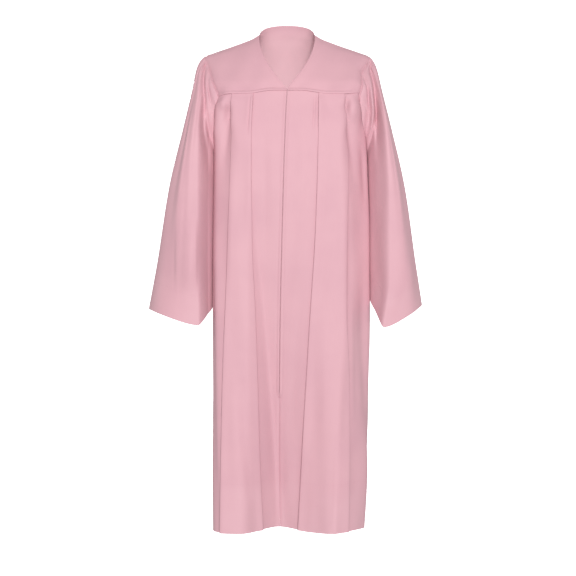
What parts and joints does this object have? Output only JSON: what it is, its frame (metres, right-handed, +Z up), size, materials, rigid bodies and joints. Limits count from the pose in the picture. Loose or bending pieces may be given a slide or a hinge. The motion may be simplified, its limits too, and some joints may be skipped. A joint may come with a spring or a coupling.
{
  "type": "choir robe, worn form",
  "caption": "Long robe in worn form with a V-neck yoke, box-pleated fronts on a zip, a pleated back and bell sleeves.",
  "frame": {"origin": "midway between the shoulder tops at the two sides of the neck, where the wearer's shoulders carry the robe", "axes": "+Z up, -Y the way the wearer faces, +X to the wearer's left"},
  "size_m": [0.695, 0.3227, 1.2827],
  "materials": {
    "robe_cloth": "matte woven polyester, dusty pink, soft sheen",
    "zip_tape": "woven zip tape, pink",
    "zip_metal": "coated zip slider, pink"
  },
  "bodies": {
    "root": {"front_yoke_right": "robe_cloth", "front_yoke_left": "robe_cloth", "back_yoke": "robe_cloth", "front_right": "robe_cloth", "front_left": "robe_cloth", "back": "robe_cloth", "sleeve_right": "robe_cloth", "sleeve_left": "robe_cloth", "zip_tape_right": "zip_tape", "zip_tape_left": "zip_tape", "zip_slider": "zip_metal"}
  },
  "joints": []
}
